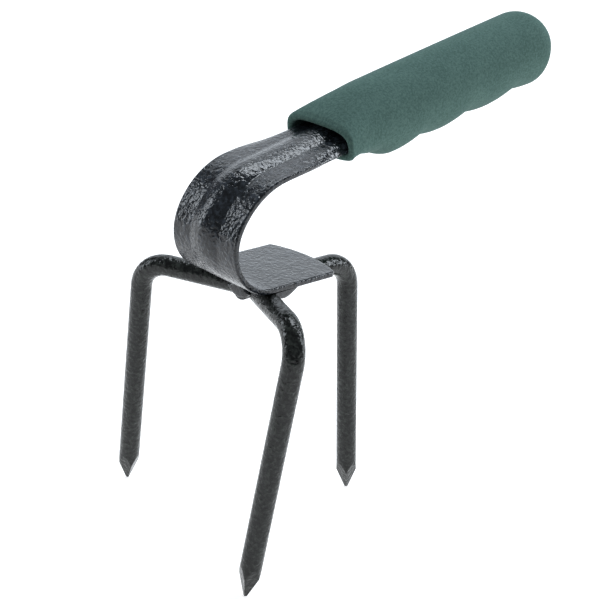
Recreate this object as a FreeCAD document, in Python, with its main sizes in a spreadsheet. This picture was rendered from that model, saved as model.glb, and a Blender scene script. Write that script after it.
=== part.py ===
import FreeCAD, Part
import math
import os

import Sketcher

# A hand cultivator. A steel strap is bent into a gooseneck: a flat foot at the bottom, two bends, a
# straight neck and a channel-shaped tang. Three round rods, each bent once and ground to a point,
# are welded under the foot. A foam grip is pushed over the tang.
# Millimetres, +Z up. The points stand on Z = 0, +X runs along the foot towards the grip, and the
# origin is the middle of the box around the tool, on the ground.

SIZES = [
    # alias, value, what it is
    ("rod_diameter", 8.0, "round bar the tines are bent from"),
    ("rod_bend_radius", 12.0, "bend of each rod, on its axis"),
    ("tine_drop", 102.3, "height of the rods' level stretch, on its axis"),
    ("meet_x", 6.9, "where the outer rods' axes meet the middle line"),
    ("sweep_angle", 22.6, "how far the outer rods point forward of square, degrees"),
    ("outer_reach", 44.5, "from the meeting point to an outer rod's corner"),
    ("rod_end_gap", 0.3, "gap between an outer rod's end and the centre rod"),
    ("centre_reach", 56.0, "from the foot's bend line to the centre rod's corner"),
    ("left_splay", 6.3, "left tine, outward lean, degrees"),
    ("left_swing", 9.8, "left tine, lean towards the grip, degrees"),
    ("right_splay", -1.6, "right tine, outward lean, degrees"),
    ("right_swing", -5.8, "right tine, lean towards the grip, degrees"),
    ("centre_splay", 7.5, "centre tine, outward lean, degrees"),
    ("point_length", 12.5, "length of the four ground facets"),
    ("point_blunt", 0.5, "distance of each facet from the axis at the very end"),
    ("strap_thickness", 2.1, "steel strap"),
    ("foot_length", 34.6, "flat foot, from the bend line to its rounded end"),
    ("foot_width", 34.0, "width of the foot"),
    ("foot_end_radius", 40.6, "curve of the foot's free end"),
    ("foot_corner_radius", 1.3, "corners of the foot's free end"),
    ("low_bend_radius", 18.5, "outer face of the lower bend"),
    ("low_bend_angle", 116.0, "turn of the lower bend, degrees"),
    ("high_bend_radius", 28.3, "outer face of the upper bend"),
    ("neck_slope", 12.5, "rise of the neck above the foot, degrees"),
    ("neck_width", 32.0, "width of the strap in the upper bend"),
    ("mouth_width", 32.8, "width of the strap at the grip, before it is folded"),
    ("neck_length", 30.0, "straight neck, from the upper bend to the grip"),
    ("rib_width", 13.5, "raised rib along the outer face, at its widest"),
    ("rib_height", 2.2, "height of the rib above the outer face"),
    ("edge_band", 5.6, "strip along each edge that is rolled down to make the tang"),
    ("fold_angle", 110.0, "turn of that strip at the tang, degrees"),
    ("tang_length", 96.0, "channel inside the grip"),
    ("grip_length", 125.0, "foam grip, end to end"),
    ("grip_radius", 14.6, "foam grip"),
    ("grip_offset", 2.8, "grip's axis below the neck's outer face"),
    ("grip_overlap", 1.5, "how far the neck is bare before the grip's mouth"),
    ("grip_end_round", 11.0, "rounding of the closed end"),
    ("grip_mouth_round", 1.0, "rounding of the mouth's rim"),
    ("weld_length", 10.5, "each weld bead"),
    ("outer_weld_reach", 12.5, "how far an outer bead spreads over the foot, from the rod's axis"),
    ("centre_weld_reach", 9.5, "the same for the two centre beads"),
    ("joint_weld_lap", 0.7, "how far the bead on the centre rod's cut end laps over the outer rods"),
    ("joint_weld_rise", 2.8, "half the height of that bead"),
    ("joint_weld_depth", 1.3, "how far that bead stands out from the cut end"),
]
SHEET = "Sizes"
SPARE = 2  # how far cutting outlines run past the material, mm
CUT_THROUGH = 60  # depth of symmetric cuts, more than any piece is thick, mm
LOW_RIB = 0.2  # share of the rib's height in the middle of the lower bend
NECK_RIB = 0.95  # share of the rib's height in the middle of the neck
TANG_RIB = 0.9  # share of the rib's height along the tang
NECK_FOLD = 0.25  # share of the tang's fold in the middle of the neck
NECK_SPREAD = 0.25  # share of the strap's growth in width in the middle of the neck
SAME = 0.01  # closer than this, two places are the same, mm

doc = FreeCAD.newDocument("hand_cultivator")
sheet = doc.addObject("Spreadsheet::Sheet", SHEET)
for row, (alias, value, note) in enumerate(SIZES, start=1):
    sheet.set(f"A{row}", alias)
    sheet.set(f"B{row}", str(value))
    sheet.set(f"C{row}", note)
    sheet.setAlias(f"B{row}", alias)
ORIGIN_CELLS = ("origin_x", "origin_y", "origin_z")
ORIGIN_ROWS = range(len(SIZES) + 1, len(SIZES) + len(ORIGIN_CELLS) + 1)
for row, alias in zip(ORIGIN_ROWS, ORIGIN_CELLS):
    sheet.set(f"A{row}", alias)
    sheet.set(f"B{row}", "0")
    sheet.setAlias(f"B{row}", alias)
doc.recompute()


# ---------------------------------------------------------------- small helpers


def size(alias):
    return float(sheet.get(alias))


def cell(alias):
    return f"{SHEET}.{alias}"


def number(expression):
    """Value of an expression over the sheet's cells."""
    result = sheet.evalExpression(expression)
    return float(getattr(result, "Value", result))


def origin_plane(body, role):
    return next(feature for feature in body.Origin.OriginFeatures if feature.Role == role)


def new_body(name):
    body = doc.addObject("PartDesign::Body", name)
    body.Label = name
    return body


def new_sketch(body, name, role):
    sketch = body.newObject("Sketcher::SketchObject", name)
    sketch.AttachmentSupport = (origin_plane(body, role), "")
    sketch.MapMode = "FlatFace"
    return sketch


def constrain(sketch, kind, *arguments, value=None):
    """Add a constraint; a value is an expression and stays bound to the sheet."""
    if value is None:
        return sketch.addConstraint(Sketcher.Constraint(kind, *arguments))
    index = sketch.addConstraint(Sketcher.Constraint(kind, *arguments, number(value)))
    sketch.setExpression(f"Constraints[{index}]", value)
    return index


def pin_point(sketch, edge, end, point):
    """Hold one end of an edge at a pair of expressions."""
    across, up = point
    if across == "0":
        constrain(sketch, "PointOnObject", edge, end, -2)
    else:
        constrain(sketch, "DistanceX", -1, 1, edge, end, value=across)
    if up == "0":
        constrain(sketch, "PointOnObject", edge, end, -1)
    else:
        constrain(sketch, "DistanceY", -1, 1, edge, end, value=up)


def place(point):
    return FreeCAD.Vector(number(point[0]), number(point[1]), 0)


def arc_through(start, middle, end):
    """Arc through three points, always drawn anticlockwise, as sketches keep them."""
    through = Part.Circle(start, middle, end)
    circle = Part.Circle(through.Center, FreeCAD.Vector(0, 0, 1), through.Radius)
    first, halfway, last = (circle.parameter(point) for point in (start, middle, end))
    full = 2 * math.pi
    if (halfway - first) % full > (last - first) % full:
        first, last = last, first
    return Part.ArcOfCircle(circle, first, first + (last - first) % full)


def closed_outline(sketch, points, bulges=None):
    """Closed outline through points given as expressions. A bulge turns the edge that starts at a
    point into an arc: (expression of the radius, expression pair of a point the arc passes)."""
    bulges = bulges or {}
    corners = [place(point) for point in points]
    for index, start in enumerate(corners):
        end = corners[(index + 1) % len(corners)]
        if index in bulges:
            edge = arc_through(start, place(bulges[index][1]), end)
        else:
            edge = Part.LineSegment(start, end)
        sketch.addGeometry(edge, False)
    first_end = []
    for index in range(len(corners)):
        # An arc runs anticlockwise, so its first end may be the outline's second.
        edge = sketch.Geometry[index]
        starts_here = edge.StartPoint.distanceToPoint(corners[index]) < SAME
        first_end.append(1 if starts_here else 2)
    for index in range(len(corners)):
        following = (index + 1) % len(corners)
        last_end = 3 - first_end[index]
        constrain(sketch, "Coincident", index, last_end, following, first_end[following])
        pin_point(sketch, index, first_end[index], points[index])
        if index in bulges:
            constrain(sketch, "Radius", index, value=bulges[index][0])


def bind(item, settings):
    for name, expression in settings.items():
        item.setExpression(name, expression)


def stand_up(body, x, y, z, yaw="0", roll="0", rise="0"):
    """Place a body: tilt its X axis up, roll it about that axis, yaw it, then move it."""
    turns = (
        f"rotation(vector(0; 0; 1); {yaw}) * rotation(vector(1; 0; 0); {roll})"
        f" * rotation(vector(0; 1; 0); -({rise}))"
    )
    bind(
        body,
        {
            "Placement.Base.x": f"{x} + {cell('origin_x')}",
            "Placement.Base.y": f"{y} + {cell('origin_y')}",
            "Placement.Base.z": f"{z} + {cell('origin_z')}",
            "Placement.Rotation": turns,
        },
    )


# ---------------------------------------------------------------- shank

# The strap is swept along the line its outer face follows: the foot from its free end to the bend
# line, the lower bend, the upper bend, then the neck and tang. Its sections are drawn with the
# sketch's X across the strap and its Y out of the outer face.

FOOT_Z = f"{cell('tine_drop')} + {cell('rod_diameter')} / 2"
LOW = cell("low_bend_radius")
HIGH = cell("high_bend_radius")
LOW_TURN = cell("low_bend_angle")
SLOPE = cell("neck_slope")
FULL_TURN = f"(180 - {SLOPE})"


def low_bend_point(turn):
    return f"-({LOW}) * sin({turn})", f"{LOW} * (1 - cos({turn}))"


def high_bend_point(turn):
    across = f"({HIGH} - {LOW}) * sin({LOW_TURN}) - {HIGH} * sin({turn})"
    up = f"{LOW} + ({HIGH} - {LOW}) * cos({LOW_TURN}) - {HIGH} * cos({turn})"
    return across, up


def neck_point(along):
    across, up = high_bend_point(FULL_TURN)
    return f"{across} + ({along}) * cos({SLOPE})", f"{up} + ({along}) * sin({SLOPE})"


def strap_line(body):
    """The line that the outer face follows, in the plane of symmetry."""
    sketch = new_sketch(body, "strap_line", "XZ_Plane")
    foot_end = (cell("foot_length"), "0")
    low_start = FreeCAD.Vector(0, 0, 0)
    low_middle = place(low_bend_point(f"{LOW_TURN} / 2"))
    low_end = place(low_bend_point(LOW_TURN))
    high_middle = place(high_bend_point(f"({LOW_TURN} + {FULL_TURN}) / 2"))
    high_end = place(high_bend_point(FULL_TURN))
    tang_end = place(neck_point(f"{cell('neck_length')} + {cell('tang_length')}"))
    sketch.addGeometry(Part.LineSegment(place(foot_end), low_start), False)
    sketch.addGeometry(arc_through(low_start, low_middle, low_end), False)
    sketch.addGeometry(arc_through(low_end, high_middle, high_end), False)
    sketch.addGeometry(Part.LineSegment(high_end, tang_end), False)
    foot, low_bend, high_bend, neck = range(4)
    constrain(sketch, "Coincident", foot, 2, -1, 1)
    constrain(sketch, "Horizontal", foot)
    constrain(sketch, "DistanceX", -1, 1, foot, 1, value=cell("foot_length"))
    # Both arcs run anticlockwise, so each one's second end is nearer the foot.
    constrain(sketch, "Tangent", foot, 2, low_bend, 2)
    constrain(sketch, "Tangent", low_bend, 1, high_bend, 2)
    constrain(sketch, "Tangent", high_bend, 1, neck, 1)
    constrain(sketch, "Radius", low_bend, value=LOW)
    constrain(sketch, "Radius", high_bend, value=HIGH)
    constrain(sketch, "DistanceX", -1, 1, low_bend, 1, value=low_bend_point(LOW_TURN)[0])
    constrain(sketch, "Angle", neck, value=SLOPE)
    neck_run = f"{cell('neck_length')} + {cell('tang_length')}"
    constrain(sketch, "Distance", neck, 1, neck, 2, value=neck_run)
    return sketch


def strap_section(body, name, position, turn, width, rib=None, fold=None):
    """Section of the strap. The middle may be pushed out into a rib, and the strips along both
    edges may be folded down; every section has the same twelve edges."""
    sketch = new_sketch(body, name, "YZ_Plane")
    bind(
        sketch,
        {
            "AttachmentOffset.Base.y": position[1],
            "AttachmentOffset.Base.z": position[0],
            "AttachmentOffset.Rotation": f"rotation(vector(1; 0; 0); ({turn}) - 180)",
        },
    )
    thick = cell("strap_thickness")
    rib_half = f"{cell('rib_width')} / 2"
    rib_radius = f"(({rib_half}) ^ 2 + ({rib}) ^ 2) / (2 * ({rib}))"
    flat_half = f"({width} / 2 - {cell('edge_band')})"
    fold_radius = f"({cell('edge_band')} * 180 / (pi * {fold}))"

    def strip_point(side, part, depth):
        """Point of an edge strip: part is 0 at its root and 1 at the strap's edge."""
        if fold is None:
            return f"{side} * ({flat_half} + {cell('edge_band')} * {part})", f"-({depth})"
        radius = f"({fold_radius} - {depth})"
        across = f"{side} * ({flat_half} + {radius} * sin({fold} * {part}))"
        return across, f"{radius} * cos({fold} * {part}) - {fold_radius}"

    points = []
    bulges = {}

    def face(sides, depth):
        """One face of the strap, from one edge to the other."""
        first, second = sides
        strip_radius = f"({fold_radius} - {depth})"
        if fold is not None:
            bulges[len(points)] = (strip_radius, strip_point(first, 0.5, depth))
            bulges[len(points) + 4] = (strip_radius, strip_point(second, 0.5, depth))
        if rib is not None:
            bulges[len(points) + 2] = (rib_radius, ("0", f"{rib} - {depth}"))
        points.append(strip_point(first, 1, depth))
        points.append(strip_point(first, 0, depth))
        points.append((f"{first} * {rib_half}", f"-({depth})"))
        points.append((f"{second} * {rib_half}", f"-({depth})"))
        points.append(strip_point(second, 0, depth))
        points.append(strip_point(second, 1, depth))

    face((-1, 1), "0")
    face((1, -1), thick)
    closed_outline(sketch, points, bulges)
    return sketch


def make_shank():
    body = new_body("shank")
    line = strap_line(body)
    foot = cell("foot_width")
    neck = cell("neck_width")
    mouth_width = cell("mouth_width")
    rib = cell("rib_height")
    fold = cell("fold_angle")
    neck_run = cell("neck_length")
    middle_turn = f"{LOW_TURN} / 2"
    middle_width = f"(({foot} + {neck}) / 2)"

    def section(name, position, turn, width, rib=None, fold=None):
        return strap_section(body, name, position, turn, width, rib, fold)

    bend_line = section("bend_line", ("0", "0"), "0", foot)
    low_middle = section(
        "low_middle", low_bend_point(middle_turn), middle_turn, middle_width, f"({rib} * {LOW_RIB})"
    )
    bends_meet = section("bends_meet", low_bend_point(LOW_TURN), LOW_TURN, neck, rib)
    neck_start = section("neck_start", high_bend_point(FULL_TURN), FULL_TURN, neck, rib)
    neck_middle = section(
        "neck_middle",
        neck_point(f"{neck_run} / 2"),
        FULL_TURN,
        f"({neck} + ({mouth_width} - {neck}) * {NECK_SPREAD})",
        f"({rib} * {NECK_RIB})",
        f"({fold} * {NECK_FOLD})",
    )
    crown = f"({rib} * {TANG_RIB})"
    mouth = section("mouth", neck_point(neck_run), FULL_TURN, mouth_width, crown, fold)
    doc.recompute()

    bends = body.newObject("PartDesign::AdditivePipe", "bends")
    bends.Profile = bend_line
    bends.Spine = (line, ["Edge2", "Edge3"])
    bends.Sections = [low_middle, bends_meet, neck_start]
    bends.Transformation = "Multisection"
    doc.recompute()

    flat_foot = body.newObject("PartDesign::Pad", "flat_foot")
    flat_foot.Profile = bend_line
    flat_foot.setExpression("Length", cell("foot_length"))
    flat_foot.Reversed = True
    doc.recompute()

    straight_neck = body.newObject("PartDesign::AdditiveLoft", "straight_neck")
    straight_neck.Profile = neck_start
    straight_neck.Sections = [neck_middle, mouth]
    doc.recompute()

    tang = body.newObject("PartDesign::Pad", "tang")
    tang.Profile = mouth
    tang.setExpression("Length", cell("tang_length"))
    doc.recompute()

    trimmed = cut_with(body, "free_end_cut", foot_end_outline(body))
    corners = [
        f"Edge{index}"
        for index, edge in enumerate(trimmed.Shape.Edges, start=1)
        if is_foot_corner(edge)
    ]
    rounding = body.newObject("PartDesign::Fillet", "corner_rounding")
    rounding.Base = (trimmed, corners)
    rounding.setExpression("Radius", cell("foot_corner_radius"))
    stand_up(body, "0", "0", FOOT_Z)
    return body


def foot_end_outline(body):
    """Everything beyond the foot's curved end."""
    sketch = new_sketch(body, "free_end", "XY_Plane")
    length = cell("foot_length")
    radius = cell("foot_end_radius")
    side = f"({cell('foot_width')} / 2 + {SPARE})"
    corner = f"{length} - {radius} + sqrt({radius} ^ 2 - {side} ^ 2)"
    beyond = f"{length} + {SPARE}"
    points = [(corner, side), (corner, f"-{side}"), (beyond, f"-{side}"), (beyond, side)]
    closed_outline(sketch, points, {0: (radius, (length, "0"))})
    return sketch


def is_foot_corner(edge):
    """True for the short upright edges at the foot's free end."""
    if len(edge.Vertexes) != 2:
        return False
    first, second = (vertex.Point for vertex in edge.Vertexes)
    upright = math.hypot(first.x - second.x, first.y - second.y) < SAME
    at_side = abs(abs(first.y) - size("foot_width") / 2) < SAME
    return upright and at_side and first.x > size("foot_length") / 2


# ---------------------------------------------------------------- tines

# A tine's own frame: its origin is the inner end of the rod's axis, X runs out along the level
# stretch, and the leg hangs down in the XZ plane.

ROD = f"({cell('rod_diameter')} / 2)"
BEND = cell("rod_bend_radius")
SWEEP = cell("sweep_angle")
FACETS = 4
FACET_PAST = 0.2  # how far a facet's cut runs past both its ends, as a share of its length


def rod_line(body, reach, turn, tip):
    """Axis of a rod: level stretch, bend, leg."""
    sketch = new_sketch(body, f"{body.Name}_line", "XZ_Plane")
    bend_start = f"({reach} - {BEND} * tan(({turn}) / 2))"
    bend_middle = (f"{bend_start} + {BEND} * sin({turn} / 2)", f"{BEND} * (cos({turn} / 2) - 1)")
    bend_end = (f"{bend_start} + {BEND} * sin({turn})", f"{BEND} * (cos({turn}) - 1)")
    inner_end = FreeCAD.Vector(0, 0, 0)
    corner = place((bend_start, "0"))
    sketch.addGeometry(Part.LineSegment(inner_end, corner), False)
    sketch.addGeometry(arc_through(corner, place(bend_middle), place(bend_end)), False)
    sketch.addGeometry(Part.LineSegment(place(bend_end), place(tip)), False)
    level, bend, leg = range(3)
    constrain(sketch, "Coincident", level, 1, -1, 1)
    constrain(sketch, "Horizontal", level)
    constrain(sketch, "DistanceX", -1, 1, level, 2, value=bend_start)
    constrain(sketch, "Tangent", level, 2, bend, 2)
    constrain(sketch, "Radius", bend, value=BEND)
    constrain(sketch, "Tangent", bend, 1, leg, 1)
    pin_point(sketch, leg, 2, tip)
    return sketch


def make_tine(name, x, y, yaw, reach, splay, swing):
    body = new_body(name)
    splay = f"({splay})"
    leg_length = f"({cell('tine_drop')} / (cos({splay}) * cos({swing})))"

    def leg_point(above, out):
        """Point in the XZ plane, measured up the leg from its tip and out from its axis."""
        along = f"({leg_length} - ({above}))"
        across = f"{reach} + {along} * sin({splay}) + ({out}) * cos({splay})"
        return across, f"({out}) * sin({splay}) - {along} * cos({splay})"

    line = rod_line(body, reach, f"(90 - {splay})", leg_point("0", "0"))
    ring = new_sketch(body, f"{name}_ring", "YZ_Plane")
    ring.addGeometry(Part.Circle(FreeCAD.Vector(0, 0, 0), FreeCAD.Vector(0, 0, 1), number(ROD)))
    constrain(ring, "Coincident", 0, 3, -1, 1)
    constrain(ring, "Radius", 0, value=ROD)
    doc.recompute()
    bar = body.newObject("PartDesign::AdditivePipe", f"{name}_bar")
    bar.Profile = ring
    bar.Spine = (line, ["Edge1", "Edge2", "Edge3"])
    doc.recompute()

    # One facet slopes from the blunt tip out to the rod's side, and is repeated round the axis.
    blunt = cell("point_blunt")
    length = cell("point_length")
    outline = new_sketch(body, f"{name}_facet_outline", "XZ_Plane")
    slope_rise = f"{FACET_PAST} * {length}"
    slope_out = f"{FACET_PAST} * ({ROD} - {blunt})"
    low = (f"-({slope_rise})", f"{blunt} - {slope_out}")
    high = (f"{length} + {slope_rise}", f"{ROD} + {slope_out}")
    points = [
        leg_point(*low),
        leg_point(*high),
        leg_point(high[0], f"2 * {ROD}"),
        leg_point(low[0], f"2 * {ROD}"),
    ]
    closed_outline(outline, points)
    axis = Part.LineSegment(place(leg_point("0", "0")), place(leg_point(length, "0")))
    axis_line = outline.addGeometry(axis, True)
    pin_point(outline, axis_line, 1, leg_point("0", "0"))
    pin_point(outline, axis_line, 2, leg_point(length, "0"))
    doc.recompute()
    facet = cut_with(body, f"{name}_facet", outline)
    facets = body.newObject("PartDesign::PolarPattern", f"{name}_facets")
    facets.Originals = [facet]
    facets.Axis = (outline, ["Axis0"])
    facets.Angle = 360
    facets.Occurrences = FACETS
    body.Tip = facets
    stand_up(body, x, y, cell("tine_drop"), yaw, swing)
    return body


def cut_with(body, name, sketch):
    """Cut through everything in front of and behind a sketch."""
    pocket = body.newObject("PartDesign::Pocket", name)
    pocket.Profile = sketch
    pocket.SideType = "Symmetric"
    pocket.Type = "Length"
    pocket.Length = CUT_THROUGH
    doc.recompute()
    return pocket


# Inner end of the outer rods: their cut ends clear the centre rod's side.
OUTER_END_Y = f"({ROD} * (1 + sin({SWEEP})) + {cell('rod_end_gap')})"
OUTER_END_ALONG = f"({OUTER_END_Y} / cos({SWEEP}))"
OUTER_END_X = f"({cell('meet_x')} - {OUTER_END_ALONG} * sin({SWEEP}))"
OUTER_RUN = f"({cell('outer_reach')} - {OUTER_END_ALONG})"

# The bead across the centre rod's cut end reaches both outer rods, where their sides meet its face.
JOINT_HALF = f"({ROD} + {cell('rod_end_gap')} + {cell('joint_weld_lap')})"
CENTRE_END_X = f"({cell('meet_x')} - ({ROD} + {JOINT_HALF} * sin({SWEEP})) / cos({SWEEP}))"


def outer_yaw(side):
    return f"{side} * (90 + {SWEEP})"


def make_outer_tine(name, side, splay, swing):
    swing_towards_grip = f"({-side} * {swing})"
    return make_tine(
        name,
        OUTER_END_X,
        f"{side} * {OUTER_END_Y}",
        outer_yaw(side),
        OUTER_RUN,
        splay,
        swing_towards_grip,
    )


def make_centre_tine():
    run = f"({cell('centre_reach')} - {CENTRE_END_X})"
    return make_tine("centre_tine", CENTRE_END_X, "0", "0", run, cell("centre_splay"), "0")


# ---------------------------------------------------------------- weld beads

# A bead fills the corner between a rod and the foot. It is drawn in its rod's frame: it hugs the
# rod from near the top down to the side, then slopes back to the foot.

BEAD_TOP = 22  # degrees from the rod's top to where the bead begins
BEAD_SIDE = 75  # degrees from the rod's top to where the bead leaves the rod
BEAD_BACK = 1.6  # from the foot's free end back to where the centre beads start, in bead lengths


def rod_point(side, angle):
    return f"{side} * {ROD} * sin({angle})", f"{ROD} * cos({angle})"


def make_weld(name, x, y, yaw, side, start, reach, edge_cut=None):
    body = new_body(name)
    section = new_sketch(body, f"{name}_section", "YZ_Plane")
    section.setExpression("AttachmentOffset.Base.z", start)
    spread = f"({side} * {reach})"
    top = rod_point(side, BEAD_TOP)
    low = rod_point(side, BEAD_SIDE)
    middle = rod_point(side, (BEAD_TOP + BEAD_SIDE) / 2)
    closed_outline(section, [top, low, (spread, ROD), (top[0], ROD)], {0: (ROD, middle)})
    bead = body.newObject("PartDesign::Pad", f"{name}_bead")
    bead.Profile = section
    bead.setExpression("Length", cell("weld_length"))
    doc.recompute()
    if edge_cut is not None:
        cut_with(body, f"{name}_edge_cut", edge_outline(body, edge_cut, side))
    stand_up(body, x, y, cell("tine_drop"), yaw)
    return body


def edge_outline(body, along, side):
    """Everything past a line that runs along the foot's edge and crosses the rod's axis."""
    sketch = new_sketch(body, f"{body.Name}_edge", "XY_Plane")
    beyond = cell("weld_length")
    back = (f"{along} + {beyond} * sin({SWEEP})", f"{-side} * {beyond} * cos({SWEEP})")
    front = (f"{along} - 2 * {beyond} * sin({SWEEP})", f"{side} * 2 * {beyond} * cos({SWEEP})")
    far = f"{along} + 2 * {beyond}"
    closed_outline(sketch, [back, front, (far, front[1]), (far, back[1])])
    return sketch


def make_outer_weld(name, side):
    to_edge = f"(({cell('foot_width')} / 2 - {OUTER_END_Y}) / cos({SWEEP}))"
    towards_grip = -side
    return make_weld(
        name,
        OUTER_END_X,
        f"{side} * {OUTER_END_Y}",
        outer_yaw(side),
        towards_grip,
        f"({to_edge} - {cell('weld_length')})",
        cell("outer_weld_reach"),
        to_edge,
    )


def make_centre_weld(name, side):
    start = f"({cell('foot_length')} - {cell('weld_length')} * {BEAD_BACK} - {CENTRE_END_X})"
    return make_weld(name, CENTRE_END_X, "0", "0", side, start, cell("centre_weld_reach"))


def make_joint_weld():
    """A lens of weld on the centre rod's cut end, which joins it to the outer rods."""
    body = new_body("joint_weld")
    outline = new_sketch(body, "joint_weld_outline", "YZ_Plane")
    half, rise = JOINT_HALF, cell("joint_weld_rise")
    radius = f"(({half} ^ 2 + {rise} ^ 2) / (2 * {rise}))"
    arcs = {0: (radius, ("0", f"-{rise}")), 1: (radius, ("0", rise))}
    closed_outline(outline, [(f"-{half}", "0"), (half, "0")], arcs)
    bead = body.newObject("PartDesign::Pad", "joint_weld_bead")
    bead.Profile = outline
    bead.Reversed = True
    bead.setExpression("Length", cell("joint_weld_depth"))
    doc.recompute()
    stand_up(body, CENTRE_END_X, "0", cell("tine_drop"))
    return body


# ---------------------------------------------------------------- grip


def make_grip():
    """A round sleeve with a closed end, and a hole that fits the tang's channel."""
    body = new_body("foam_grip")
    length, radius = cell("grip_length"), cell("grip_radius")
    end_round, mouth_round = cell("grip_end_round"), cell("grip_mouth_round")
    half = f"(1 - {math.sqrt(0.5)})"
    profile = new_sketch(body, "grip_profile", "XZ_Plane")
    mouth_arc = (f"{mouth_round} * {half}", f"{radius} - {mouth_round} * {half}")
    end_arc = (f"{length} - {end_round} * {half}", f"{radius} - {end_round} * {half}")
    points = [
        ("0", "0"),
        ("0", f"{radius} - {mouth_round}"),
        (mouth_round, radius),
        (f"{length} - {end_round}", radius),
        (length, f"{radius} - {end_round}"),
        (length, "0"),
    ]
    closed_outline(profile, points, {1: (mouth_round, mouth_arc), 3: (end_round, end_arc)})
    doc.recompute()
    sleeve = body.newObject("PartDesign::Revolution", "sleeve")
    sleeve.Profile = profile
    sleeve.ReferenceAxis = (profile, ["H_Axis"])
    sleeve.Angle = 360
    doc.recompute()

    hole = new_sketch(body, "tang_hole_outline", "YZ_Plane")
    offset = cell("grip_offset")
    thick = cell("strap_thickness")
    fold = cell("fold_angle")
    flat = f"({cell('mouth_width')} / 2 - {cell('edge_band')})"
    fold_radius = f"({cell('edge_band')} * 180 / (pi * {fold}))"

    def fold_point(side, angle, depth="0"):
        bend = f"({fold_radius} - {depth})"
        across = f"{side} * ({flat} + {bend} * sin({angle}))"
        return across, f"{offset} - {fold_radius} + {bend} * cos({angle})"

    rib_half = f"({cell('rib_width')} / 2)"
    rib = f"({cell('rib_height')} * {TANG_RIB})"
    rib_radius = f"(({rib_half} ^ 2 + {rib} ^ 2) / (2 * {rib}))"
    points = [
        fold_point(-1, fold),
        fold_point(-1, "0"),
        (f"-{rib_half}", offset),
        (rib_half, offset),
        fold_point(1, "0"),
        fold_point(1, fold),
        fold_point(1, fold, thick),
        fold_point(-1, fold, thick),
    ]
    arcs = {
        0: (fold_radius, fold_point(-1, f"{fold} / 2")),
        2: (rib_radius, ("0", f"{offset} + {rib}")),
        4: (fold_radius, fold_point(1, f"{fold} / 2")),
    }
    closed_outline(hole, points, arcs)
    doc.recompute()
    tang_hole = body.newObject("PartDesign::Pocket", "tang_hole")
    tang_hole.Profile = hole
    tang_hole.Reversed = True
    tang_hole.setExpression("Length", f"{cell('tang_length')} - {cell('grip_overlap')}")
    doc.recompute()

    across, up = neck_point(f"{cell('neck_length')} + {cell('grip_overlap')}")
    stand_up(
        body,
        f"{across} + {offset} * sin({SLOPE})",
        "0",
        f"{FOOT_Z} + {up} - {offset} * cos({SLOPE})",
        rise=SLOPE,
    )
    return body


# ---------------------------------------------------------------- whole tool


def check_built(bodies):
    for item in doc.Objects:
        if "Invalid" in item.State or "Error" in item.State:
            raise RuntimeError(f"{item.Name} failed: {item.getStatusString()}")
    for body in bodies:
        shape = body.Shape
        if shape.isNull() or not shape.isValid() or len(shape.Solids) != 1:
            raise RuntimeError(f"{body.Label} is not one valid solid")


def centre_on_ground(bodies):
    """Move the tool so that the middle of its box, on the ground, is the origin."""
    box = FreeCAD.BoundBox()
    for body in bodies:
        box.add(body.Shape.optimalBoundingBox())
    for row, offset in zip(ORIGIN_ROWS, (-box.Center.x, -box.Center.y, -box.ZMin)):
        sheet.set(f"B{row}", str(offset))
    doc.recompute()


def main():
    bodies = [
        make_shank(),
        make_outer_tine("left_tine", 1, cell("left_splay"), cell("left_swing")),
        make_outer_tine("right_tine", -1, cell("right_splay"), cell("right_swing")),
        make_centre_tine(),
        make_outer_weld("left_weld", 1),
        make_outer_weld("right_weld", -1),
        make_centre_weld("centre_weld_left", 1),
        make_centre_weld("centre_weld_right", -1),
        make_joint_weld(),
        make_grip(),
    ]
    doc.recompute()
    check_built(bodies)
    centre_on_ground(bodies)
    check_built(bodies)
    os.makedirs("parts", exist_ok=True)
    for body in bodies:
        body.Shape.exportStep(os.path.join("parts", f"{body.Label}.step"))


main()
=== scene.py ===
import math

import bmesh
import bpy
from mathutils import Matrix, Vector, noise


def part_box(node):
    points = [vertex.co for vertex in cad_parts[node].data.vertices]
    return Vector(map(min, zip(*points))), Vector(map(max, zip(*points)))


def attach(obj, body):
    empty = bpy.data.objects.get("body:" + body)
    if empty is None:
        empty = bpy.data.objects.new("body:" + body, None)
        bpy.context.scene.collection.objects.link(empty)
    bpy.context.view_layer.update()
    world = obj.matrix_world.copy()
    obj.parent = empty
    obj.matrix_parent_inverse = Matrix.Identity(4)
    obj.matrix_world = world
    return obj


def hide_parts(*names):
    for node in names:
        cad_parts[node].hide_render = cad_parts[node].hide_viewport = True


# The looks of a hand cultivator: a painted steel strap bent into a gooseneck, three painted rods
# welded under its foot, and a foam grip. Metres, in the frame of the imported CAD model.

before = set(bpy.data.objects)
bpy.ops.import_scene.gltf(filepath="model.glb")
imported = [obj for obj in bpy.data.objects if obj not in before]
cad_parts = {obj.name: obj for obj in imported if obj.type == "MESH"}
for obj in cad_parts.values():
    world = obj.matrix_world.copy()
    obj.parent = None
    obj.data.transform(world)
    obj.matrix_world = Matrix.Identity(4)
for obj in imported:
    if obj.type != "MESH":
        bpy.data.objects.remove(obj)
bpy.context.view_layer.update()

MM = 0.001

# ---------------------------------------------------------------- sizes shared with the CAD

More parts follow.
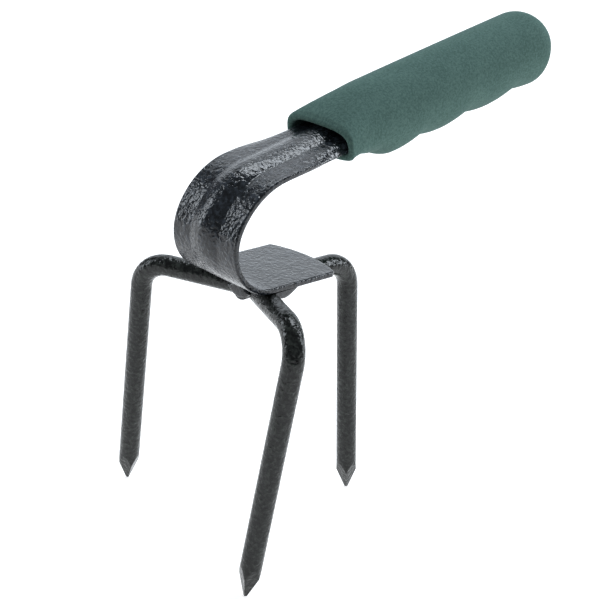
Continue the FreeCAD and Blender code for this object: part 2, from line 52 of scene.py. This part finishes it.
ROD_RADIUS = 4.0 * MM
ROD_BEND = 12.0 * MM  # on the rod's axis
MEET_X = 6.9 * MM  # where the outer rods' axes meet the middle line, from the foot's bend line
SWEEP = math.radians(22.6)
OUTER_REACH = 44.5 * MM
ROD_END_GAP = 0.3 * MM
TINE_DROP = 102.3 * MM  # from a rod's level axis down to its tip
CENTRE_REACH = 56.0 * MM
POINT_LENGTH = 12.5 * MM
POINT_BLUNT = 0.5 * MM
STRAP = 2.1 * MM  # thickness of the strap
FOOT_LENGTH = 34.6 * MM
FOOT_WIDTH = 34.0 * MM
FOOT_END_RADIUS = 40.6 * MM
FOOT_CORNER = 1.3 * MM
LOW_RADIUS = 18.5 * MM
LOW_TURN = math.radians(116)
HIGH_RADIUS = 28.3 * MM
SLOPE = math.radians(12.5)
NECK_WIDTH = 32.0 * MM
MOUTH_WIDTH = 32.8 * MM  # of the strap at the grip, before it is rolled down
NECK_LENGTH = 30.0 * MM
RIB_HALF = 6.75 * MM
TANG_RIB = 0.9  # share of the rib's height along the tang
RIB_HEIGHT = 2.2 * MM
RIB_START = 0.3  # share of the lower bend that has no rib
EDGE_BAND = 5.6 * MM
FOLD = math.radians(110)
TANG_LENGTH = 96.0 * MM
GRIP_LENGTH = 125.0 * MM
GRIP_OFFSET = 2.8 * MM
GRIP_OVERLAP = 1.5 * MM
WELD_LENGTH = 10.5 * MM
OUTER_WELD_REACH = 12.5 * MM
CENTRE_WELD_REACH = 9.5 * MM
CENTRE_WELD_BACK = 1.6  # from the foot's free end back to the centre beads, in bead lengths
JOINT_HALF = 5.0 * MM
CENTRE_END = MEET_X - (ROD_RADIUS + JOINT_HALF * math.sin(SWEEP)) / math.cos(SWEEP)
JOINT_RISE = 2.8 * MM
JOINT_DEPTH = 1.3 * MM

# Places that are read from the frame.
MIDDLE_Y = (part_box("foam_grip")[0].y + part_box("foam_grip")[1].y) / 2
BEND_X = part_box("centre_tine")[0].x - CENTRE_END
FOOT_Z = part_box("shank")[0].z
ROD_Z = FOOT_Z - ROD_RADIUS

# ---------------------------------------------------------------- small helpers


def ease(value):
    """0 below 0, 1 above 1, and a smooth rise between."""
    value = min(max(value, 0), 1)
    return value * value * (3 - 2 * value)


def steps(first, last, count):
    """count + 1 evenly spaced values, both ends included."""
    return [first + (last - first) * index / count for index in range(count + 1)]


def skin(name, rings, sharp_angle=35):
    """A closed mesh through rings of points, with a flat cap on each end."""
    mesh = bmesh.new()
    rows = [[mesh.verts.new(point) for point in ring] for ring in rings]
    around = len(rows[0])
    for first, second in zip(rows, rows[1:]):
        for index in range(around):
            following = (index + 1) % around
            mesh.faces.new((first[index], first[following], second[following], second[index]))
    mesh.faces.new(reversed(rows[0]))
    mesh.faces.new(rows[-1])
    bmesh.ops.recalc_face_normals(mesh, faces=mesh.faces)
    for face in mesh.faces:
        face.smooth = True
    for edge in mesh.edges:
        if edge.calc_face_angle(0) > math.radians(sharp_angle):
            edge.smooth = False
    data = bpy.data.meshes.new(name)
    mesh.to_mesh(data)
    mesh.free()
    piece = bpy.data.objects.new(name, data)
    bpy.context.scene.collection.objects.link(piece)
    return piece


def finish_piece(piece, node, material):
    """Let a piece stand for its CAD node, with its material."""
    piece.data.materials.append(material)
    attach(piece, "root")
    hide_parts(node)


# ---------------------------------------------------------------- the strap's line

LOW_RUN = LOW_RADIUS * LOW_TURN
FULL_TURN = math.pi - SLOPE
HIGH_RUN = HIGH_RADIUS * (FULL_TURN - LOW_TURN)
NECK_START = LOW_RUN + HIGH_RUN
MOUTH_RUN = NECK_START + NECK_LENGTH


def strap_place(run):
    """Point, direction and outward direction of the outer face's line, in the middle plane. The
    run is measured from the foot's bend line, and is negative on the foot."""
    turn = 0
    if run <= 0:
        across, up = -run, 0
    elif run <= LOW_RUN:
        turn = run / LOW_RADIUS
        across, up = -LOW_RADIUS * math.sin(turn), LOW_RADIUS * (1 - math.cos(turn))
    else:
        turn = min(LOW_TURN + (run - LOW_RUN) / HIGH_RADIUS, FULL_TURN)
        apart = HIGH_RADIUS - LOW_RADIUS
        across = apart * math.sin(LOW_TURN) - HIGH_RADIUS * math.sin(turn)
        up = LOW_RADIUS + apart * math.cos(LOW_TURN) - HIGH_RADIUS * math.cos(turn)
    along = Vector((-math.cos(turn), 0, math.sin(turn)))
    outward = Vector((-math.sin(turn), 0, -math.cos(turn)))
    point = Vector((BEND_X + across, MIDDLE_Y, FOOT_Z + up))
    if run > NECK_START:
        point += along * (run - NECK_START)
    return point, along, outward


def neck_part(run):
    """0 where the neck starts and 1 at the grip."""
    return min(max((run - NECK_START) / NECK_LENGTH, 0), 1)


def strap_width(run):
    """Width along the outer face, before the edges are rolled down."""
    width = FOOT_WIDTH + (NECK_WIDTH - FOOT_WIDTH) * ease(run / LOW_RUN)
    return width + (MOUTH_WIDTH - NECK_WIDTH) * neck_part(run) ** 2


def rib_height(run):
    """The rib rises out of the lower bend and is a little lower along the tang."""
    rise = ease((run - LOW_RUN * RIB_START) / (LOW_RUN * (1 - RIB_START)))
    return RIB_HEIGHT * rise * (1 - (1 - TANG_RIB) * neck_part(run))


def strap_fold(run):
    """How far the strips along the edges are rolled down, in radians."""
    return FOLD * neck_part(run) ** 2


# ---------------------------------------------------------------- shank

EDGE_ROUND = 0.55 * MM
ROUND_STEPS = 4
FACE_STEPS = 72
RING_SPACING = 0.8 * MM


def section_outline(half, inset):
    """(distance from the middle, depth below the outer face) round the strap's section."""
    near, far = inset, STRAP - inset
    radius = min(EDGE_ROUND, (far - near) / 2)
    flat = half - radius
    quarter = steps(0, math.pi / 2, ROUND_STEPS)
    outline = [(distance, near) for distance in steps(-flat, flat, FACE_STEPS)]
    outline += [
        (flat + radius * math.sin(angle), near + radius * (1 - math.cos(angle)))
        for angle in quarter[1:]
    ]
    outline += [
        (flat + radius * math.cos(angle), far - radius * (1 - math.sin(angle)))
        for angle in quarter
    ]
    outline += [(distance, far) for distance in steps(flat, -flat, FACE_STEPS)[1:]]
    outline += [
        (-flat - radius * math.sin(angle), far - radius * (1 - math.cos(angle)))
        for angle in quarter[1:]
    ]
    outline += [
        (-flat - radius * math.cos(angle), near + radius * (1 - math.sin(angle)))
        for angle in quarter[:-1]
    ]
    return outline


def bend_section(run, distance, depth):
    """Across and outward place of a section point once the rib and the folds are pressed in."""
    half = strap_width(run) / 2
    flat = half - EDGE_BAND
    fold = strap_fold(run)
    side = math.copysign(1, distance)
    beyond = abs(distance) - flat
    across, out, lean = distance, 0, 0
    if beyond > 0 and fold > 0:
        lean = fold * beyond / EDGE_BAND
        radius = EDGE_BAND / fold
        across = side * (flat + radius * math.sin(lean))
        out = radius * (math.cos(lean) - 1)
    height = rib_height(run)
    if abs(distance) < RIB_HALF:
        out += height * (1 - (distance / RIB_HALF) ** 2)
    return across - side * math.sin(lean) * depth, out - math.cos(lean) * depth


def foot_end(across):
    """How far the foot reaches at a distance from its middle line."""
    reach = FOOT_LENGTH - FOOT_END_RADIUS + math.sqrt(FOOT_END_RADIUS**2 - across**2)
    into_corner = abs(across) - (FOOT_WIDTH / 2 - FOOT_CORNER)
    if into_corner > 0:
        drop = math.sqrt(max(FOOT_CORNER**2 - into_corner**2, 0))
        reach -= FOOT_CORNER - drop
    return reach


def foot_ring(part, back, inset):
    """Ring across the foot: part is 1 at its free end, which may be pulled back for rounding."""
    ring = []
    for distance, depth in section_outline(FOOT_WIDTH / 2 - inset, inset):
        reach = foot_end(distance) * part - back
        ring.append(Vector((BEND_X + reach, MIDDLE_Y + distance, FOOT_Z + depth)))
    return ring


def strap_ring(run, inset=0):
    point, _, outward = strap_place(run)
    ring = []
    for distance, depth in section_outline(strap_width(run) / 2 - inset, inset):
        across, out = bend_section(run, distance, depth)
        ring.append(point + Vector((0, across, 0)) + outward * out)
    return ring


def make_shank(material):
    quarter = steps(math.pi / 2, 0, ROUND_STEPS)
    rings = [
        foot_ring(1, EDGE_ROUND * (1 - math.sin(angle)), EDGE_ROUND * (1 - math.cos(angle)))
        for angle in quarter
    ]
    foot_rings = round(FOOT_LENGTH / RING_SPACING)
    rings += [foot_ring(part, 0, 0) for part in steps(0.97, 0, foot_rings)]
    tang_end = MOUTH_RUN + TANG_LENGTH
    strap_rings = round(tang_end / RING_SPACING)
    rings += [strap_ring(run) for run in steps(0, tang_end, strap_rings)[1:]]
    shank = skin("strap", rings)
    finish_piece(shank, "shank", material)
    return shank


# ---------------------------------------------------------------- tines

ROD_SIDES = 96
ROD_END_ROUND = 0.5 * MM
TIP_SPACING = 0.25 * MM
FACETS = 4


def rod_rings(reach, splay, leg):
    """Rings along a rod in its own frame: X runs out along the level stretch, -Z is down."""
    turn = math.pi / 2 - splay
    bend_start = reach - ROD_BEND * math.tan(turn / 2)
    down = Vector((math.sin(splay), 0, -math.cos(splay)))
    out = Vector((math.cos(splay), 0, math.sin(splay)))
    corner = Vector((reach, 0, 0))
    rings = []

    def ring(centre, lean, radius_at):
        """Ring square to the rod; lean is how far the rod has turned down from level."""
        outer = Vector((math.sin(lean), 0, math.cos(lean)))
        points = []
        for index in range(ROD_SIDES):
            angle = 2 * math.pi * index / ROD_SIDES
            direction = outer * math.cos(angle) + Vector((0, math.sin(angle), 0))
            points.append(centre + direction * radius_at(angle))
        rings.append(points)

    for angle in steps(0, math.pi / 2, ROUND_STEPS):
        inset = ROD_END_ROUND * (1 - math.sin(angle))
        start = Vector((ROD_END_ROUND * (1 - math.cos(angle)), 0, 0))
        ring(start, 0, lambda _, radius=ROD_RADIUS - inset: radius)
    level_rings = max(round(bend_start / RING_SPACING), 2)
    for along in steps(ROD_END_ROUND, bend_start, level_rings)[1:]:
        ring(Vector((along, 0, 0)), 0, lambda _: ROD_RADIUS)
    for lean in steps(0, turn, 28)[1:]:
        centre = Vector((bend_start + ROD_BEND * math.sin(lean), 0, ROD_BEND * (math.cos(lean) - 1)))
        ring(centre, lean, lambda _: ROD_RADIUS)
    leg_start = ROD_BEND * math.tan(turn / 2)
    leg_rings = round((leg - leg_start - POINT_LENGTH) / RING_SPACING)
    for along in steps(leg_start, leg - POINT_LENGTH, leg_rings)[1:]:
        ring(corner + down * along, turn, lambda _: ROD_RADIUS)
    tip_rings = round(POINT_LENGTH / TIP_SPACING)
    for above in steps(POINT_LENGTH, 0, tip_rings)[1:]:
        facet = POINT_BLUNT + (ROD_RADIUS - POINT_BLUNT) * above / POINT_LENGTH

        def ground(angle, facet=facet):
            """Distance from the axis once the facets are ground."""
            nearest = math.remainder(angle, 2 * math.pi / FACETS)
            return min(ROD_RADIUS, facet / math.cos(nearest))

        ring(corner + down * (leg - above), turn, ground)
    return rings


def make_tine(name, node, start, yaw, reach, splay, swing, material):
    """A rod that is bent once: the swing rolls its leg round the level stretch."""
    splay, swing = math.radians(splay), math.radians(swing)
    leg = TINE_DROP / (math.cos(splay) * math.cos(swing))
    place = Matrix.Translation(start) @ Matrix.Rotation(yaw, 4, "Z") @ Matrix.Rotation(swing, 4, "X")
    rings = [[place @ point for point in ring] for ring in rod_rings(reach, splay, leg)]
    tine = skin(name, rings)
    finish_piece(tine, node, material)
    return tine


OUTER_END_Y = ROD_RADIUS * (1 + math.sin(SWEEP)) + ROD_END_GAP
OUTER_END_ALONG = OUTER_END_Y / math.cos(SWEEP)
OUTER_END_X = MEET_X - OUTER_END_ALONG * math.sin(SWEEP)


def outer_start(side):
    return Vector((BEND_X + OUTER_END_X, MIDDLE_Y + side * OUTER_END_Y, ROD_Z))


def outer_yaw(side):
    return side * (math.pi / 2 + SWEEP)


def make_tines(material):
    run = OUTER_REACH - OUTER_END_ALONG
    centre_start = Vector((BEND_X + CENTRE_END, MIDDLE_Y, ROD_Z))
    return [
        make_tine("rod_left", "left_tine", outer_start(1), outer_yaw(1), run, 6.3, -9.8, material),
        make_tine(
            "rod_right", "right_tine", outer_start(-1), outer_yaw(-1), run, -1.6, -5.8, material
        ),
        make_tine(
            "rod_centre",
            "centre_tine",
            centre_start,
            0,
            CENTRE_REACH - CENTRE_END,
            7.5,
            0,
            material,
        ),
    ]


# ---------------------------------------------------------------- weld beads

BEAD_TOP = math.radians(22)
BEAD_SIDE = math.radians(75)
BEAD_RINGS = 42
RIPPLES = 6
RIPPLE_DEPTH = 0.16 * MM
BEAD_SPILL = 1.3 * MM  # how far the bead's face swells past a straight slope
BEAD_TUCK = 0.02 * MM  # how far a bead stands off its rod and stops short of the foot
BEAD_LUMP = 0.4  # share by which the lumps vary the swelling
JOINT_WRAP = 1.2 * MM  # how much longer the joint bead is at each end than its CAD solid
JOINT_LUMP = 0.05


def bead_ring(along, side, spread, size, swell):
    """Ring of a bead in its rod's frame: up the rod's side, then down its free face."""
    points = []
    for angle in steps(BEAD_TOP, BEAD_SIDE, 10):
        low = BEAD_TOP + (angle - BEAD_TOP) * size
        radius = ROD_RADIUS + BEAD_TUCK
        points.append(Vector((along, side * radius * math.sin(low), radius * math.cos(low))))
    start = points[-1].copy()
    top = Vector((along, side * ROD_RADIUS * math.sin(BEAD_TOP), ROD_RADIUS - BEAD_TUCK))
    reach = top.y * side + (spread - top.y * side) * size
    end = Vector((along, side * reach, ROD_RADIUS - BEAD_TUCK))
    slope = end - start
    bulge = Vector((0, side * -slope.z, -abs(slope.y))).normalized()
    for part in steps(0, 1, 14)[1:]:
        points.append(start + slope * part + bulge * swell * math.sin(math.pi * part))
    points.append((end + top) / 2)
    return points


def make_weld(name, node, start, yaw, side, first, spread, material, seed, cut=0):
    """A bead with ripples across it and rounded ends. With a cut, its far end slants along the
    foot's edge and stays blunt."""
    place = Matrix.Translation(start) @ Matrix.Rotation(yaw, 4, "Z")
    rings = []
    for part in steps(0, 1, BEAD_RINGS):
        end_power = 16 if cut and part > 0.5 else 4
        end_round = math.sqrt(max(1 - abs(2 * part - 1) ** end_power, 0.02))
        ripple = math.sin(part * RIPPLES * 2 * math.pi)
        lump = noise.noise(Vector((part * 5, seed, 0)))
        size = end_round * (0.94 + 0.05 * lump)
        swell = (BEAD_SPILL * (1 + BEAD_LUMP * lump) + RIPPLE_DEPTH * ripple) * end_round
        ring = bead_ring(first + WELD_LENGTH * part, side, spread, size, swell)
        for point in ring:
            point.x -= cut * part * abs(point.y)
        rings.append([place @ point for point in ring])
    bead = skin(name, rings, sharp_angle=60)
    finish_piece(bead, node, material)
    return bead


def make_welds(material):
    to_edge = (FOOT_WIDTH / 2 - OUTER_END_Y) / math.cos(SWEEP)
    outer_first = to_edge - WELD_LENGTH
    centre_first = FOOT_LENGTH - WELD_LENGTH * CENTRE_WELD_BACK - CENTRE_END
    centre_start = Vector((BEND_X + CENTRE_END, MIDDLE_Y, ROD_Z))
    slant = math.tan(SWEEP)
    return [
        make_weld("bead_left", "left_weld", outer_start(1), outer_yaw(1), -1, outer_first,
                  OUTER_WELD_REACH, material, 1.3, slant),
        make_weld("bead_right", "right_weld", outer_start(-1), outer_yaw(-1), 1, outer_first,
                  OUTER_WELD_REACH, material, 2.6, slant),
        make_weld("bead_centre_left", "centre_weld_left", centre_start, 0, 1, centre_first,
                  CENTRE_WELD_REACH, material, 3.9),
        make_weld("bead_centre_right", "centre_weld_right", centre_start, 0, -1, centre_first,
                  CENTRE_WELD_REACH, material, 5.2),
        make_joint_bead(centre_start, material),
    ]


def make_joint_bead(centre, material):
    """A low lens of weld across the centre rod's cut end, swept back along the outer rods."""
    rings = []
    half = JOINT_HALF + JOINT_WRAP
    for part in steps(0, 1, 16):
        size = max(math.cos(part * math.pi / 2) ** 0.5, 0.05)
        out = -JOINT_DEPTH * math.sin(part * math.pi / 2)
        ring = []
        for angle in steps(0, 2 * math.pi, 72)[:-1]:
            lump = 1 + JOINT_LUMP * noise.noise(Vector((3 * math.cos(angle), 3 * math.sin(angle), part)))
            across = half * math.cos(angle) * size * lump
            up = JOINT_RISE * math.sin(angle) * abs(math.sin(angle)) * size * lump
            wrap = max(abs(across) - JOINT_HALF, 0) * math.tan(SWEEP)
            ring.append(centre + Vector((out - wrap, across, up)))
        rings.append(ring)
    bead = skin("bead_joint", rings, sharp_angle=60)
    finish_piece(bead, "joint_weld", material)
    return bead


# ---------------------------------------------------------------- foam grip

GRIP_HALF_WIDTH = 14.4 * MM
GRIP_TOP = 14.8 * MM  # above the grip's axis
GRIP_BOTTOM = 13.0 * MM  # below the axis, between the finger lobes
GRIP_THICKER = 1.6 * MM  # how much deeper the underside is at the closed end
GRIP_SAG = 1.2 * MM  # how much lower the top is at the closed end
MOUTH_HALF_WIDTH = 16.9 * MM
MOUTH_TOP = 8.7 * MM
MOUTH_BOTTOM = 5.2 * MM
MOUTH_SQUARE = 3.4  # power of the rim's oval: 2 is an ellipse, and more is squarer
BORE_SQUARE = 6  # the same for the bore along the tang
MOUTH_WIDENS = 24 * MM  # length over which the grip widens towards its mouth
MOUTH_TOP_FALLS = 26 * MM
MOUTH_SQUARES = 22 * MM
BORE_OPENS = 14 * MM
FLAT_UNDER = 3 * MM  # the underside is flattened from here to the mouth
FLAT_FADES = 27 * MM
LOBE_FADES = 30 * MM  # the lobes grow to their full size over this length
PAST_THE_END = 12 * MM  # the last lobe would end this far past the closed end
LOBE_CUSPS = [20.5 * MM, 45.0 * MM, 71.4 * MM, 99.7 * MM]
LOBE_SWELL = 2.3 * MM
LIP = 1.4 * MM  # rounding of the rim
CLOSED_ROUND = 13.0 * MM
FOAM_SIDES = 120
FOAM_SPACING = 0.5 * MM
LEAST_FOAM = 0.3 * MM  # least half size of a ring on the closed end
BORE_DEEP_HALF_WIDTH = 13.9 * MM
BORE_DEEP_HALF_HEIGHT = 3.7 * MM
BORE_DEEP_BELOW = 1.5 * MM  # its middle below the strap's outer face


def mouth_blend(along, length):
    """1 at the mouth, falling smoothly to 0 at a distance from it."""
    left = max(1 - along / length, 0)
    return left * left


def lobe_swell(along):
    """Swelling of the underside between the cusps, where the fingers go."""
    edges = [0.0, *LOBE_CUSPS, GRIP_LENGTH + PAST_THE_END]
    for first, last in zip(edges, edges[1:]):
        if first <= along <= last:
            part = (along - first) / (last - first)
            weight = ease(along / LOBE_FADES)
            return LOBE_SWELL * weight * 4 * part * (1 - part)
    return 0


def grip_section(along):
    """Half width, height above the axis and depth below it."""
    part = along / GRIP_LENGTH
    wide = GRIP_HALF_WIDTH + (MOUTH_HALF_WIDTH - GRIP_HALF_WIDTH) * mouth_blend(along, MOUTH_WIDENS)
    fallen = mouth_blend(along, MOUTH_TOP_FALLS)
    top = GRIP_TOP - GRIP_SAG * part**2 - (GRIP_TOP - MOUTH_TOP) * fallen
    flat = 1 - ease((along - FLAT_UNDER) / FLAT_FADES)
    bottom = GRIP_BOTTOM + GRIP_THICKER * part - (GRIP_BOTTOM - MOUTH_BOTTOM) * flat
    return wide, top, bottom + lobe_swell(along)


def grip_axis(along):
    """Point on the grip's axis, and its direction and upward direction."""
    point, direction, outward = strap_place(MOUTH_RUN + GRIP_OVERLAP)
    return point - outward * GRIP_OFFSET + direction * along, direction, outward


def oval_ring(centre, outward, wide, top, bottom, power=2):
    ring = []
    for index in range(FOAM_SIDES):
        angle = 2 * math.pi * index / FOAM_SIDES
        across, up = math.sin(angle), math.cos(angle)
        shape = (abs(across) ** power + abs(up) ** power) ** (-1 / power)
        height = top if up > 0 else bottom
        offset = Vector((0, wide * across * shape, 0))
        ring.append(centre + offset + outward * (height * up * shape))
    return ring


def make_grip(material):
    _, direction, outward = grip_axis(0)
    rings = []
    bore_length = TANG_LENGTH - GRIP_OVERLAP
    tang_middle = GRIP_OFFSET - BORE_DEEP_BELOW  # above the grip's axis
    wide, top, bottom = grip_section(0)
    bore_wide, bore_top, bore_bottom = wide - 2 * LIP, top - 2 * LIP, bottom - 2 * LIP

    # The bore, from its closed end to the rim.
    for along in steps(bore_length, LIP, 90):
        open_part = mouth_blend(along - LIP, BORE_OPENS)
        half_wide = BORE_DEEP_HALF_WIDTH + (bore_wide - BORE_DEEP_HALF_WIDTH) * open_part
        above = BORE_DEEP_HALF_HEIGHT + tang_middle
        below = BORE_DEEP_HALF_HEIGHT - tang_middle
        high = above + (bore_top - above) * open_part
        low = below + (bore_bottom - below) * open_part
        square = BORE_SQUARE + (MOUTH_SQUARE - BORE_SQUARE) * open_part
        centre, _, _ = grip_axis(along)
        rings.append(oval_ring(centre, outward, half_wide, high, low, square))

    # The rolled rim.
    for angle in steps(0, math.pi, 12)[1:-1]:
        out = LIP * (1 - math.cos(angle))
        centre, _, _ = grip_axis(LIP * (1 - math.sin(angle)))
        size = [value + out for value in (bore_wide, bore_top, bore_bottom)]
        rings.append(oval_ring(centre, outward, *size, MOUTH_SQUARE))

    # The outside, as far as the rounding of the closed end.
    straight = GRIP_LENGTH - CLOSED_ROUND
    places = steps(LIP, straight, round(straight / FOAM_SPACING))
    places = sorted([*places, *LOBE_CUSPS])
    for along in places:
        centre, _, _ = grip_axis(along)
        square = 2 + (MOUTH_SQUARE - 2) * mouth_blend(along, MOUTH_SQUARES)
        rings.append(oval_ring(centre, outward, *grip_section(along), square))
    for angle in steps(0, math.pi / 2, 30)[1:]:
        along = straight + CLOSED_ROUND * math.sin(angle)
        shrink = CLOSED_ROUND * (1 - math.cos(angle))
        centre, _, _ = grip_axis(along)
        size = [max(value - shrink, LEAST_FOAM) for value in grip_section(along)]
        rings.append(oval_ring(centre, outward, *size))
    grip = skin("grip", rings, sharp_angle=80)
    finish_piece(grip, "foam_grip", material)
    return grip


# ---------------------------------------------------------------- materials


class Nodes:
    """Short-hand for building a material's node tree."""

    def __init__(self, name):
        self.material = bpy.data.materials.new(name)
        self.material.use_nodes = True
        self.tree = self.material.node_tree
        self.shader = self.tree.nodes["Principled BSDF"]
        self.place = self.tree.nodes.new("ShaderNodeTexCoord").outputs["Object"]

    def noise(self, size, detail=3.0, rough=0.5, distortion=0.0):
        """Noise whose lumps are about as big as size, in metres."""
        node = self.tree.nodes.new("ShaderNodeTexNoise")
        node.inputs["Scale"].default_value = 1 / size
        node.inputs["Detail"].default_value = detail
        node.inputs["Roughness"].default_value = rough
        node.inputs["Distortion"].default_value = distortion
        self.link(self.place, node.inputs["Vector"])
        return node.outputs["Fac"]

    def cells(self, size):
        """Distance from the middle of the nearest cell."""
        node = self.tree.nodes.new("ShaderNodeTexVoronoi")
        node.inputs["Scale"].default_value = 1 / size
        self.link(self.place, node.inputs["Vector"])
        return node.outputs["Distance"]

    def ramp(self, value, low, high, first, last):
        """Map low..high of a value to first..last."""
        node = self.tree.nodes.new("ShaderNodeMapRange")
        self.link(value, node.inputs["Value"])
        names = ("From Min", "From Max", "To Min", "To Max")
        for name, number in zip(names, (low, high, first, last)):
            node.inputs[name].default_value = number
        return node.outputs["Result"]

    def colours(self, value, stops):
        node = self.tree.nodes.new("ShaderNodeValToRGB")
        ramp = node.color_ramp
        while len(ramp.elements) < len(stops):
            ramp.elements.new(0.5)
        for element, (position, colour) in zip(ramp.elements, stops):
            element.position = position
            element.color = (*colour, 1)
        self.link(value, node.inputs["Fac"])
        return node.outputs["Color"]

    def add(self, first, second):
        node = self.tree.nodes.new("ShaderNodeMath")
        self.link(first, node.inputs[0])
        self.link(second, node.inputs[1])
        return node.outputs["Value"]

    def bump(self, height, distance, strength=1.0):
        node = self.tree.nodes.new("ShaderNodeBump")
        node.inputs["Distance"].default_value = distance
        node.inputs["Strength"].default_value = strength
        self.link(height, node.inputs["Height"])
        self.link(node.outputs["Normal"], self.shader.inputs["Normal"])

    def link(self, source, target):
        self.tree.links.new(source, target)

    def set(self, **values):
        for name, value in values.items():
            self.shader.inputs[name.replace("_", " ")].default_value = value


def hammered_paint(name, colour, wrinkle, shine):
    """Glossy dark paint that dried into small wrinkles, with painted shade in their hollows and a
    painted highlight on their crests.
    """
    nodes = Nodes(name)
    grain = nodes.ramp(nodes.noise(1.35 * MM, 1.5, 0.5, 0.4), 0.3, 0.7, 0, 1)
    lumps = nodes.ramp(nodes.noise(3.2 * MM, 1), 0.3, 0.7, 0, 0.5)
    nodes.bump(nodes.add(grain, lumps), wrinkle)
    # Painted shade and painted highlight: the paint's colour follows the wrinkle noise, darker in the
    # hollows and lighter on the crests
    dark = tuple(0.3 * value for value in colour)
    painted_crest_highlight = tuple(2.2 * value for value in colour)
    stops = [(0.2, dark), (0.6, colour), (0.95, painted_crest_highlight)]
    nodes.link(nodes.colours(grain, stops), nodes.shader.inputs["Base Color"])
    gloss = nodes.noise(2.2 * MM, 3)
    nodes.link(nodes.ramp(gloss, 0.35, 0.7, 0.08, 0.24), nodes.shader.inputs["Roughness"])
    nodes.set(IOR=1.5, Specular_IOR_Level=shine)
    return nodes.material


def foam_material():
    """Closed-cell foam: matte, finely speckled, a little darker in patches."""
    nodes = Nodes("green_foam")
    speckle = nodes.noise(0.8 * MM, 3, 0.7)
    patches = nodes.noise(9 * MM, 3)
    mixed = nodes.add(nodes.ramp(speckle, 0.35, 0.65, 0, 0.8), nodes.ramp(patches, 0.3, 0.7, 0, 0.2))
    stops = [(0.15, (0.053, 0.105, 0.090)), (0.85, (0.093, 0.165, 0.143))]
    nodes.link(nodes.colours(mixed, stops), nodes.shader.inputs["Base Color"])
    pores = nodes.noise(0.5 * MM, 3, 0.6)
    nodes.bump(nodes.add(pores, nodes.cells(0.8 * MM)), 0.08 * MM, 0.5)
    nodes.set(Roughness=0.95, Specular_IOR_Level=0.25)
    return nodes.material


def floor_material():
    nodes = Nodes("pale_floor")
    shade = nodes.noise(0.4, 2)
    stops = [(0.3, (0.58, 0.58, 0.58)), (0.7, (0.62, 0.62, 0.62))]
    nodes.link(nodes.colours(shade, stops), nodes.shader.inputs["Base Color"])
    nodes.set(Roughness=0.9, Specular_IOR_Level=0.1)
    nodes.set(Emission_Color=(1, 1, 1, 1), Emission_Strength=0.75)
    return nodes.material


# ---------------------------------------------------------------- studio


FLOOR_HALF = 4.0  # m
WORLD_COLOUR = (0.88, 0.96, 1.06, 1)
WORLD_STRENGTH = 0.2
OBJECT_MIDDLE = 0.1  # height that the lights point at, m


def make_floor():
    half = FLOOR_HALF
    mesh = bpy.data.meshes.new("floor")
    corners = [(-half, -half, 0), (half, -half, 0), (half, half, 0), (-half, half, 0)]
    mesh.from_pydata(corners, [], [(0, 1, 2, 3)])
    floor = bpy.data.objects.new("floor", mesh)
    mesh.materials.append(floor_material())
    bpy.context.scene.collection.objects.link(floor)


COOL_WHITE = (0.93, 1.0, 1.07)


def make_light(name, place, target, size, radiance):
    """A soft box of an even radiance, hidden from the camera."""
    data = bpy.data.lights.new(name, "AREA")
    data.shape = "RECTANGLE"
    data.size, data.size_y = size
    data.color = COOL_WHITE
    data.energy = radiance * math.pi * size[0] * size[1]
    light = bpy.data.objects.new(name, data)
    light.location = place
    light.rotation_euler = (target - light.location).to_track_quat("-Z", "Y").to_euler()
    light.visible_camera = False
    bpy.context.scene.collection.objects.link(light)


def make_lights():
    middle = Vector((0, 0, OBJECT_MIDDLE))
    right, _, back = camera_axes()
    behind = Vector((-back.x, -back.y, 0)).normalized()
    up = Vector((0, 0, 1))
    make_light("backdrop", middle + behind * 1.6 + up * 0.85, middle, (2.6, 1.9), 1.1)
    make_light("overhead", middle + behind * 0.35 + right * 0.05 + up * 1.15, middle, (0.9, 0.4), 8)
    make_light("left", middle - right * 1.1 + behind * 0.2 + up * 0.45, middle, (0.25, 0.9), 5)
    make_light("right", middle + right * 1.1 + behind * 0.2 + up * 0.45, middle, (0.22, 0.9), 12)
    world = bpy.data.worlds.new("studio")
    bpy.context.scene.world = world
    world.use_nodes = True
    background = world.node_tree.nodes["Background"]
    background.inputs["Color"].default_value = WORLD_COLOUR
    background.inputs["Strength"].default_value = WORLD_STRENGTH


CAMERA_AZIMUTH = math.radians(-46.47)
CAMERA_ELEVATION = math.radians(21.97)
CAMERA_ROLL = math.radians(5.25)
CAMERA_DISTANCE = 0.5592
CAMERA_LENS = 90.6  # mm on a 36 mm sensor
CAMERA_AIM = Vector((-0.03799, -0.01036, 0.09251))  # the point in the middle of the picture


def camera_axes():
    """The camera's right, up and backward directions."""
    flat = math.cos(CAMERA_ELEVATION)
    back = Vector(
        (
            math.sin(CAMERA_AZIMUTH) * flat,
            -math.cos(CAMERA_AZIMUTH) * flat,
            math.sin(CAMERA_ELEVATION),
        )
    )
    level = Vector((math.cos(CAMERA_AZIMUTH), math.sin(CAMERA_AZIMUTH), 0))
    up = back.cross(level)
    right = level * math.cos(CAMERA_ROLL) + up * math.sin(CAMERA_ROLL)
    return right, back.cross(right), back


def make_camera():
    right, top, back = camera_axes()
    data = bpy.data.cameras.new("camera")
    data.lens = CAMERA_LENS
    data.sensor_width = 36
    camera = bpy.data.objects.new("camera", data)
    turn = Matrix((right, top, back)).transposed().to_4x4()
    camera.matrix_world = Matrix.Translation(CAMERA_AIM + back * CAMERA_DISTANCE) @ turn
    bpy.context.scene.collection.objects.link(camera)
    bpy.context.scene.camera = camera


# ---------------------------------------------------------------- whole scene


def main():
    strap_paint = hammered_paint("black_hammered_paint", (0.014, 0.017, 0.021), 0.14 * MM, 0.5)
    rod_paint = hammered_paint("dark_satin_paint", (0.014, 0.016, 0.014), 0.14 * MM, 0.34)
    weld_paint = hammered_paint("painted_weld", (0.014, 0.016, 0.018), 0.10 * MM, 0.5)
    make_shank(strap_paint)
    make_tines(rod_paint)
    make_welds(weld_paint)
    make_grip(foam_material())
    make_floor()
    make_lights()
    make_camera()
    bpy.context.scene.view_settings.view_transform = "Standard"


main()
